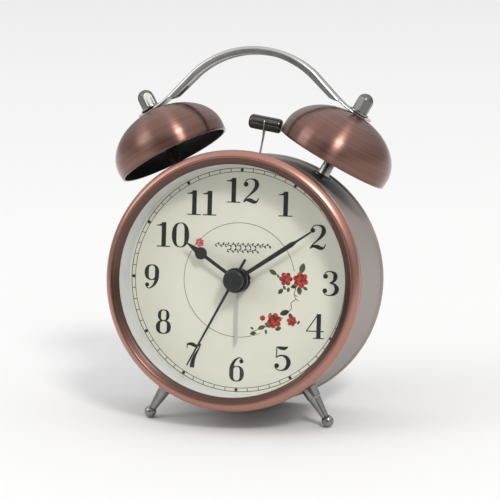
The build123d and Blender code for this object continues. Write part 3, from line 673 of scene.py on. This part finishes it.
# The spray's leaves as (x, y, length, width, turn), and its stems as (x, y) points.
leaves = ((27.9, 6.0, 4.8, 2.6, 75), (15.0, 3.9, 4.0, 2.0, 150), (17.3, 2.3, 1.8, 1.0, 300),
          (18.6, -4.2, 3.0, 1.9, 50), (20.2, -2.6, 2.2, 1.2, 120), (22.0, -3.4, 2.2, 1.5, 80),
          (24.6, -1.8, 3.4, 1.9, 20), (26.9, -3.6, 3.8, 2.2, 100), (29.4, -2.6, 2.6, 1.4, 150),
          (20.6, -13.4, 4.4, 2.4, 20), (23.4, -15.0, 3.2, 1.9, 110), (13.6, -19.0, 3.6, 2.2, 160),
          (18.0, -20.4, 3.0, 1.8, 20), (10.6, -20.2, 3.6, 1.9, 20), (6.9, -22.9, 3.0, 1.5, 10),
          (12.6, -22.0, 2.2, 1.1, 100), (6.4, -20.7, 1.8, 0.9, 150), (14.2, -14.4, 1.8, 1.0, 40),
          (26.9, -17.4, 2.0, 1.0, 60))
stems = (((25.4, -2.0), (24.6, -5.4), (25.4, -7.4), (23.4, -9.0), (23.6, -11.4), (21.6, -13.4)),
         ((24.6, -5.4), (26.2, -6.2)), ((25.4, -7.4), (26.6, -8.0)),
         ((20.0, -15.6), (15.0, -18.8), (11.0, -20.4), (6.0, -22.4)), ((16.4, 3.2), (18.4, 1.2)))
spray_leaves, deep, bright, pale = bmesh.new(), bmesh.new(), bmesh.new(), bmesh.new()
for x, y, length, width, turn in leaves:
    ink_shape(spray_leaves, leaf(x, y, length, width, turn), 0.02)
for stem in stems:
    ink_strip(spray_leaves, flowing([(x, y, 0.3) for x, y in stem]), 0.024)
rose((deep, bright), 20.8, 1.2, 3.0, 0.0)
for x, y, radius, turn in ((27.3, 0.9, 3.5, 0.7), (16.2, -17.0, 3.4, 1.4), (23.9, -16.9, 2.3, 23.9),
                           (10.9, -16.1, 1.3, 10.9)):
    rose((bright, deep), x, y, radius, turn)
rose((pale, bright), -18.2, 15.6, 2.1, 0.4)
printed("spray_leaves", spray_leaves, leaf_green)
printed("pale_petals", pale, pink)
printed("deep_petals", deep, deep_red)
printed("bright_petals", bright, bright_red)
vine_middle, vine_wave, sprig_away = 1.3, 0.3, 0.55
vines = bmesh.new()
for height, half_length in ((15.1, 12.6), (12.8, 7.2)):
    steps, sprigs = int(half_length * 8), int(half_length * 1.9)
    vine = [(vine_middle + half_length * (2 * n / steps - 1), height + vine_wave * math.sin(n * 0.42), 0.26)
            for n in range(steps + 1)]
    ink_strip(vines, vine, ink_high)
    for n in range(sprigs):
        side = 1 if n % 2 else -1
        x = vine_middle + half_length * (2 * (n + 0.5) / sprigs - 1)
        ink_shape(vines, leaf(x, height + sprig_away * side, 1.35, 0.62, 50 * side), 0.034)
printed("vine_lines", vines, dial_ink)

# --- Hands --------------------------------------------------------------------------------
# Blanked from thin sheet and painted satin black; the alarm hand is silver. Each is pressed
# on its own pipe, and a domed cap covers the middle.
def hand_outline(*shapes):
    """Outline of a hand that is even about its middle. A shape is a round (place, radius) or a
    run of (place, half width) corners."""
    def width(along):
        best = 0.0
        for shape in shapes:
            if not isinstance(shape[0], tuple):
                best = max(best, math.sqrt(max(shape[1] ** 2 - (along - shape[0]) ** 2, 0.0)))
                continue
            for (start, first), (end, last) in zip(shape, shape[1:]):
                if start <= along <= end:
                    best = max(best, first + (last - first) * (along - start) / (end - start))
        return best

    stops = set()
    for shape in shapes:
        if isinstance(shape[0], tuple):
            stops.update(place for place, half in shape)
        else:
            stops.update(shape[0] - shape[1] * math.cos(math.pi * n / 40) for n in range(41))
    low, high = min(stops), max(stops)
    stops.update(low + (high - low) * n / 160 for n in range(161))
    right = [(max(width(along), 0.01), along) for along in sorted(stops)]
    return right + [(-half, along) for half, along in reversed(right)]


def stamped(name, outlines, front, thickness, turn, ease=0.06):
    """Sheet part blanked to its outlines, with eased edges. turn is clockwise from twelve."""
    curve = bpy.data.curves.new(name, "CURVE")
    curve.dimensions = "2D"
    curve.fill_mode = "BOTH"
    curve.extrude = thickness / 2 - ease
    curve.bevel_depth = ease
    curve.bevel_resolution = 2
    curve.offset = -ease
    for outline in outlines:
        spline = curve.splines.new("POLY")
        spline.points.add(len(outline) - 1)
        for point, (x, y) in zip(spline.points, outline):
            point.co = (x, y, 0, 1)
        spline.use_cyclic_u = True
    maker = bpy.data.objects.new(name + "_line", curve)
    bpy.context.scene.collection.objects.link(maker)
    bpy.context.view_layer.update()
    data = bpy.data.meshes.new_from_object(maker.evaluated_get(bpy.context.evaluated_depsgraph_get()))
    bpy.data.objects.remove(maker)
    place = facing @ Matrix.Translation((0, 0, -front - thickness / 2))
    return new_piece(name, data, place @ Matrix.Rotation(math.radians(-turn), 4, "Z"))


hand_black = painted("hand_black", (0.016, 0.016, 0.017), (0.026, 0.026, 0.028), (0.3, 0.42), coat=0.15)
hand_silver = painted("hand_silver", (0.46, 0.47, 0.45), (0.54, 0.55, 0.53), (0.35, 0.45))
hand_sizes = {   # turn from twelve, front face, thickness, bore, outline
    "hour": (304.2, 7.9, 0.5, 1.25, hand_outline((0, 4.8), ((0, 0.75), (18.5, 0.75)), (19.7, 2.7),
                                                 ((21.2, 1.5), (28.4, 0.02)))),
    "minute": (56.3, 5.4, 0.5, 0.7, hand_outline((0, 5.4), ((0, 0.8), (29.6, 1.05), (31.6, 0.48),
                                                           (39.2, 0.36), (39.8, 0.02)))),
    "second": (208.0, 2.7, 0.3, 0.62, hand_outline((0, 3.0), ((-10.6, 0.58), (0, 0.64)),
                                                   ((0, 0.64), (42.3, 0.32)))),
    "alarm": (180.0, 9.9, 0.4, 2.0, hand_outline((0, 3.6), ((0, 0.6), (26.5, 0.6), (28.2, 0.02)))),
}
riders = {"hour": "hour", "minute": "minute", "second": "second_train", "alarm": "alarm"}
for name, (turn, front, thickness, bore, outline) in hand_sizes.items():
    hand = stamped(name + "_blade", [outline, circle(0, 0, bore, 32)], front, thickness, turn)
    finished(hand, hand_silver if name == "alarm" else hand_black, sharp=40)
    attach(hand, riders[name])
    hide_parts(name + "_hand")
boss_outline = eased([(1.95, 5.95), (5.4, 5.95), (5.4, 6.9), (1.95, 6.9)], 0.15)
minute_boss = turned("minute_boss", boss_outline, along_y, closed=True, turns=96)
finished(minute_boss, hand_black)
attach(minute_boss, "minute")
cap = turned("centre_cap", [(0, 0.9), (1.6, 0.92), (2.9, 1.0)] + arc((3.75, 1.75), 0.75, -100, 0, 6)
             + [(4.5, 2.68), (0.65, 2.68), (0.65, 2.2), (0, 2.2)], along_y, turns=96)
finished(cap, hand_black)
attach(cap, "second_train")
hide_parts("hub_cap")

# --- Bells --------------------------------------------------------------------------------
# Two deep bells spun from brass sheet, copper plated, brushed on the lathe and lacquered
# outside. Inside they are painted near black as painted shade in their hollows. Each leans
# out on its own post.
bell_x, bell_z, bell_tilt = 35.75, 53.55, 29.0
bell_r, bell_mouth_r, bell_waist, bell_high, bell_wall = 25.8, 25.5, 4.0, 22.3, 0.9
stud_r = 1.95


def on_bell(side, height=0.0):
    """Frame of a bell, its Z along the post, at a height above the mouth."""
    return on_clock(side * bell_x, bell_y, bell_z, side * bell_tilt) @ Matrix.Translation((0, 0, height))


def bell_profile(thinner, steps=40):
    """Skirt and crown of the bell from the mouth up to its hole."""
    radius, rise = bell_r - thinner, bell_high - bell_waist - thinner
    mouth = bell_mouth_r - thinner
    skirt = [(mouth + (radius - mouth) * math.sin(math.pi / 8 * n), bell_waist * n / 4) for n in range(4)]
    last = math.acos((stud_r + 0.1) / radius)
    return skirt + [(radius * math.cos(last * n / steps), bell_waist + rise * math.sin(last * n / steps))
                    for n in range(steps + 1)]


bell_copper = brushed("bell_copper", ((0.25, (0.115, 0.062, 0.049)), (0.5, (0.205, 0.106, 0.084)),
                                      (0.75, (0.29, 0.156, 0.126))),
                      (0.27, 0.36), grain=0.015, across=3.0, stretch=0.94, lacquer=0.4)
sides = ((-1, "left"), (1, "right"))
bell_skin = bell_profile(0.0)[::-1]
edge, inner_r = 0.12, bell_mouth_r - bell_wall
rim = [(bell_mouth_r, edge), (bell_mouth_r - edge, 0.0), (inner_r + edge, 0.0), (inner_r, edge)]
bell_outline = bell_skin[:-1] + rim + bell_profile(bell_wall)[1:]
# The insides of the bells take the near-black painted shade.
for side, word in sides:
    shell = turned("bell_shell_" + word, bell_outline, on_bell(side), closed=True, turns=256,
                   inside=range(len(bell_skin) + 2, len(bell_outline)))
    finished(shell, bell_copper, bell_hollow_shade, sharp=50)
    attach(shell, "case")
    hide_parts("bell_" + word)

# --- Bell posts, washers and cap nuts -----------------------------------------------------
# Turned steel columns, bright nickel plated, with a dark flange on the drum. A washer and a
# hexagon nut with a domed top clamp the bell and the end of the handle on each stud.
nickel = brushed("bright_nickel", ((0.3, (0.25, 0.245, 0.235)), (0.5, (0.30, 0.295, 0.285)),
                                   (0.75, (0.35, 0.345, 0.335))),
                 (0.2, 0.28), grain=0.012, across=4.0, around=0.06, stretch=0.3)
# Darker copy of the nickel for the cap nuts: painted shade that dims their reflections.
shaded_nickel = brushed("shaded_nickel", ((0.3, (0.15, 0.146, 0.142)), (0.7, (0.19, 0.186, 0.18))),
                      (0.30, 0.38), grain=0.008, across=4.0, around=0.06, stretch=0.1)
dark_plate = brushed("dark_plate", ((0.3, (0.055, 0.054, 0.053)), (0.7, (0.10, 0.098, 0.095))),
                     (0.25, 0.38), grain=0.03, across=4.0, around=0.06, stretch=0.2)
post_r, sheet_t, washer_t, tip_r = 2.65, 1.1, 0.7, 1.6
flange_r, flange_low, flange_high = 4.65, -8.75, -7.75
shoulder = bell_high - bell_wall - 0.1
post_outline = eased([(0, -15), (tip_r, -15), (stud_r, -14.6), (stud_r, flange_low), (flange_r, flange_low),
                      (flange_r, flange_high), (post_r, flange_high + 0.15), (post_r, shoulder - 0.05),
                      (stud_r, shoulder), (stud_r, 28.2), (tip_r, 28.5), (0, 28.5)], 0.15, 2)
flange_steps = [n for n, (radius, height) in enumerate(post_outline)
                if flange_low - 0.05 < height < flange_high + 0.05 and radius > 2]
nut_base = bell_high + sheet_t + washer_t
nut_r, nut_side, nut_dome = 3.8, 4.3, 4.1


def six_sided(angle, radius):
    """Holds a turned radius to the flats of a hexagon."""
    flat = (angle + math.pi / 6) % (math.pi / 3) - math.pi / 6
    return min(radius, nut_r * math.cos(math.pi / 6) / math.cos(flat))


dome = [(nut_r * math.cos(math.radians(a)), nut_side + nut_dome * math.sin(math.radians(a)))
        for a in range(0, 90, 5)] + [(0, nut_side + nut_dome)]
nut_outline = [(0, 5.2), (1.97, 4.8), (1.97, 0.3), (2.3, 0.0), (3.35, 0.0), (nut_r, 0.35)] + dome
washer_outline = eased([(2.05, 0), (4.6, 0), (4.6, washer_t), (2.05, washer_t)], 0.2, 3)
for side, word in sides:
    post = turned("bell_post_" + word, post_outline, on_bell(side), turns=96, inside=flange_steps)
    finished(post, nickel, dark_plate)
    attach(post, "case")
    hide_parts("post_" + word)
    washer_place = on_bell(side, nut_base - washer_t)
    washer = turned("washer_" + word, washer_outline, washer_place, closed=True, turns=96)
    nut = turned("cap_nut_" + word, nut_outline, on_bell(side, nut_base), turns=144, shape=six_sided)
    for piece, node, metal in ((washer, "washers", nickel), (nut, "cap_nuts", shaded_nickel)):
        finished(piece, metal, sharp=28)
        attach(piece, "case")
        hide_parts(node)

# --- Handle -------------------------------------------------------------------------------
# Strap of nickel-plated steel pressed to a channel with rounded shoulders, bent to an arch
# and flattened at both ends, where the bell studs pass through it.
arch_r, arch_z, arch_half = 41.2, 61.2, 43.0
strap_wide, strap_deep, web_deep = 8.0, 3.45, 0.9   # web_deep: share of the depth near the knee
knee = (39.6, 79.3)
heel_in, toe_out, run_out = 4.8, 6.4, 5.0


def handle_line():
    """Right half of the strap's upper face, from the middle down to the toe, as (x, z, depth)."""
    tilt = math.radians(bell_tilt)
    crown = bell_high + sheet_t
    heel = (bell_x + crown * math.sin(tilt) - heel_in * math.cos(tilt),
            bell_z + crown * math.cos(tilt) + heel_in * math.sin(tilt))
    toe = (bell_x + crown * math.sin(tilt) + toe_out * math.cos(tilt),
           bell_z + crown * math.cos(tilt) - toe_out * math.sin(tilt))
    angles = [math.radians(arch_half * n / 40) for n in range(41)]
    top = [(arch_r * math.sin(angle), arch_z + arch_r * math.cos(angle)) for angle in angles]
    straight = [tuple(Vector(top[-1]).lerp(Vector(knee), n / 12)) for n in range(12)]
    line = top[:-1] + straight[:1] + eased([*straight[1:], knee, heel, toe], 2.2, 8)
    leg = math.dist(top[-1], knee)
    depths = []
    for x, z in line:
        to_knee = math.dist((x, z), knee) if x < knee[0] else 0.0
        fade = min(to_knee / run_out, 1.0)
        depth = sheet_t + (web_deep * strap_deep - sheet_t) * math.sin(math.pi / 2 * fade)
        if to_knee > run_out:
            depth += (1 - web_deep) * strap_deep * min((to_knee - run_out) / (leg - run_out), 1.0)
        depths.append(depth)
    return [(x, z, depth) for (x, z), depth in zip(line, depths)]


def strap_section(half, depth):
    """Channel section as (across, down) points: rounded shoulders, sides and hollow below."""
    round_r = min(1.5, depth - 0.25)
    hollow = max(depth - sheet_t, 0.0)
    angles = [math.radians(a) for a in range(0, 91, 15)]
    outside = [(-half, depth)] + [(-half + round_r * (1 - math.cos(angle)), round_r * (1 - math.sin(angle)))
                                  for angle in angles]
    wall = min(sheet_t, half * 0.4)
    within = [(half - wall, depth), (half - wall, depth - hollow * 0.6), (half - wall - 0.6, depth - hollow)]
    ring = outside + [(-y, down) for y, down in reversed(outside)]
    return ring + within + [(-y, down) for y, down in reversed(within)]


half_line = handle_line()
whole_line = [(-x, z, depth) for x, z, depth in reversed(half_line[1:])] + half_line
handle_mesh = bmesh.new()
along_marks = handle_mesh.verts.layers.float_vector.new("brush")
sections, travel = [], 0.0
for n, (x, z, depth) in enumerate(whole_line):
    before, after = whole_line[max(n - 1, 0)], whole_line[min(n + 1, len(whole_line) - 1)]
    down = Vector((after[1] - before[1], before[0] - after[0])).normalized()
    from_toe = min(math.dist((abs(x), z), half_line[-1][:2]), strap_wide / 2)
    half = max(math.sqrt(max((strap_wide / 2) ** 2 - (strap_wide / 2 - from_toe) ** 2, 0)), 0.8)
    travel += math.dist((x, z), before[:2])
    ring = []
    for across, low in strap_section(half, depth):
        vertex = handle_mesh.verts.new((x + down.x * low, across, z + down.y * low))
        vertex[along_marks] = (travel * 2.0, low * 6.0, across * 0.8)
        ring.append(vertex)
    sections.append(ring)
for near, far in zip(sections, sections[1:]):
    for k in range(len(near)):
        handle_mesh.faces.new((near[k - 1], near[k], far[k], far[k - 1]))
handle_mesh.faces.new(sections[0])
handle_mesh.faces.new(sections[-1][::-1])
bmesh.ops.recalc_face_normals(handle_mesh, faces=handle_mesh.faces)
strap = new_piece("strap_handle", baked("strap_handle", handle_mesh), on_clock(0, bell_y, 0))
handle_nickel = brushed("handle_nickel", ((0.3, (0.44, 0.435, 0.425)), (0.5, (0.50, 0.495, 0.485)),
                                          (0.75, (0.56, 0.555, 0.545))),
                        (0.24, 0.32), grain=0.006, across=1.0, around=0.05, stretch=0.0)
finished(strap, handle_nickel, sharp=35)
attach(strap, "case")
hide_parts("handle")

# --- Feet ---------------------------------------------------------------------------------
# Turned steel legs, nickel plated, with a collar against the drum, a slim taper and a ball to
# stand on. A stud and a nut hold each one in the drum.
foot_x, foot_y, foot_z, foot_turn = 31.0, 17.6, -45.4, 148.0
foot_long, ball_r, neck_r = 16.84, 2.65, 1.65
neck_turn = math.degrees(math.asin(neck_r / ball_r))
foot_outline = [(0, -7)] + eased([(1.7, -7), (stud_r, -6.7), (stud_r, 0.3), (3.5, 0.3), (3.15, 5.2),
                                  (2.75, 5.6), (2.35, 9.0)], 0.25, 3) + [(1.95, 12.0)]
foot_outline += arc((0, foot_long), ball_r, neck_turn - 90, 90, 24)[:-1] + [(0, foot_long + ball_r)]
for side, word in sides:
    foot_place = on_clock(side * foot_x, foot_y, foot_z, side * foot_turn)
    foot = turned("turned_foot_" + word, foot_outline, foot_place, turns=96)
    finished(foot, nickel, sharp=40)
    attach(foot, "case")
    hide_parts("foot_" + word)

# --- Hammer -------------------------------------------------------------------------------
# Dark polished steel head on a spring wire that swings between the bells through the slot in
# the drum. The bright end of the wire is bent up over the front of the head.
pivot_z, hammer_turn, hammer_reach = 35.7, 9.8, 33.3
hammer_r, hammer_long, end_round = 3.2, 15.0, 1.6
head_place = on_clock(0, bell_y, pivot_z, hammer_turn) @ Matrix.Translation((0, 0, hammer_reach))
gunmetal = brushed("gunmetal", ((0.3, (0.075, 0.074, 0.075)), (0.5, (0.10, 0.098, 0.099)),
                                (0.75, (0.13, 0.128, 0.128))),
                   (0.16, 0.26), grain=0.03, around=0.06, stretch=0.4)
half_long, corner_x, corner_z = hammer_long / 2, hammer_r - end_round, hammer_long / 2 - end_round
head_outline = [(0, -half_long)] + arc((corner_x, -corner_z), end_round, -90, 0, 8)
head_outline += arc((corner_x, corner_z), end_round, 0, 90, 8) + [(0, half_long)]
lying = Matrix.Rotation(math.radians(90), 4, "Y")
striker = turned("striker_head", head_outline, head_place @ lying, turns=96)
finished(striker, gunmetal)
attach(striker, "hammer")
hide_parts("hammer_head")
wire = bpy.data.curves.new("wire_end", "CURVE")
wire.dimensions = "3D"
wire.bevel_depth = 0.38
wire.bevel_resolution = 4
wire.use_fill_caps = True
bend = wire.splines.new("BEZIER")
bend_points = ((0, 0.0, -hammer_r - 5.0), (0, -0.9, -hammer_r - 1.6), (0, -hammer_r * 0.78, -hammer_r * 0.7),
               (0, -hammer_r - 0.05, 0.0), (0, -hammer_r * 0.92, hammer_r * 0.42))
bend.bezier_points.add(len(bend_points) - 1)
for point, spot in zip(bend.bezier_points, bend_points):
    point.co = spot
    point.handle_left_type = point.handle_right_type = "AUTO"
clip = bpy.data.objects.new("wire_end", wire)
bpy.context.scene.collection.objects.link(clip)
clip.matrix_world = head_place
wire.materials.append(nickel)
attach(clip, "hammer")

# --- Back, controls and works -------------------------------------------------------------
# Moulded black back with its knobs, switch and battery door; behind the dial a plastic
# movement with brass and steel wheels. These keep their own shapes and get real finishes.
def node_finish(name, low, high, rough, metal=0.0, scale=1.0, grain=0.1, coat=0.0):
    """Finish for a piece that is drawn in metres: mottled colour, gloss and a fine grain."""
    material = painted(name, low, high, rough, scale=scale, grain=grain, coat=coat, gain=1000.0)
    material.node_tree.nodes["Principled BSDF"].inputs["Metallic"].default_value = metal
    return material


finishes = (   # name, darkest and lightest colour, gloss, what else, and the pieces that take it
    ("black_moulded", (0.017, 0.017, 0.018), (0.03, 0.03, 0.032), (0.42, 0.6), {"grain": 0.25},
     ("back_cover", "battery_door")),
    ("knob_black", (0.014, 0.014, 0.015), (0.026, 0.026, 0.027), (0.3, 0.42), {"scale": 1.6},
     ("time_knob", "alarm_knob", "alarm_switch")),
    ("white_moulded", (0.66, 0.66, 0.63), (0.74, 0.74, 0.71), (0.35, 0.5), {},
     ("dial_carrier", "movement_front_plate", "movement_rear_shell")),
    ("cream_moulded", (0.58, 0.57, 0.52), (0.66, 0.65, 0.60), (0.35, 0.5), {},
     ("hour_wheel", "alarm_wheel", "third_wheel", "intermediate_wheel", "minute_work_wheel",
      "centre_wheel")),
    ("bright_steel", (0.48, 0.48, 0.475), (0.60, 0.60, 0.59), (0.22, 0.36), {"metal": 1.0, "scale": 2.0},
     ("cover_screws", "train_pins", "stator", "motor_bracket", "hammer_pin", "second_wheel", "time_stem",
      "alarm_stem")),
    ("black_oxide", (0.018, 0.018, 0.019), (0.032, 0.032, 0.034), (0.35, 0.5), {"metal": 0.6, "scale": 2.0},
     ("bush_nut",)),
    ("can_steel", (0.50, 0.50, 0.50), (0.62, 0.62, 0.61), (0.18, 0.3), {"metal": 1.0, "scale": 0.8},
     ("bell_motor", "quartz_can")),
    ("turned_brass", (0.60, 0.42, 0.16), (0.74, 0.55, 0.25), (0.2, 0.34), {"metal": 1.0, "scale": 2.0},
     ("centre_bush", "minute_pipe", "motor_pinion", "crank_gear")),
    ("spring_brass", (0.56, 0.50, 0.36), (0.68, 0.62, 0.47), (0.22, 0.36), {"metal": 1.0, "scale": 2.0},
     ("battery_contacts",)),
    ("plated_nut", (0.50, 0.49, 0.475), (0.62, 0.61, 0.59), (0.2, 0.32), {"metal": 1.0, "scale": 2.0},
     ("post_nuts", "foot_nuts")),
    ("magnet_grey", (0.12, 0.12, 0.13), (0.19, 0.19, 0.2), (0.4, 0.6), {"metal": 0.4}, ("rotor",)),
    ("winding", (0.40, 0.14, 0.05), (0.56, 0.24, 0.09), (0.25, 0.45),
     {"metal": 0.8, "scale": 6.0, "grain": 0.5, "coat": 0.4}, ("coil",)),
    ("board_green", (0.025, 0.14, 0.06), (0.05, 0.22, 0.10), (0.25, 0.4), {"scale": 2.0, "coat": 0.3},
     ("circuit_board",)),
    ("cell_film", (0.10, 0.11, 0.13), (0.17, 0.18, 0.21), (0.22, 0.35),
     {"scale": 0.8, "grain": 0.05, "coat": 0.5}, ("aa_cell",)),
    ("wire_steel", (0.34, 0.338, 0.335), (0.46, 0.455, 0.45), (0.3, 0.42), {"metal": 0.6, "scale": 3.0},
     ("hammer_arm",)),
)
for name, low, high, rough, more, nodes in finishes:
    finish = node_finish(name, low, high, rough, **more)
    for node in nodes:
        for slot in frame["nodes"][node].material_slots:
            slot.material = finish
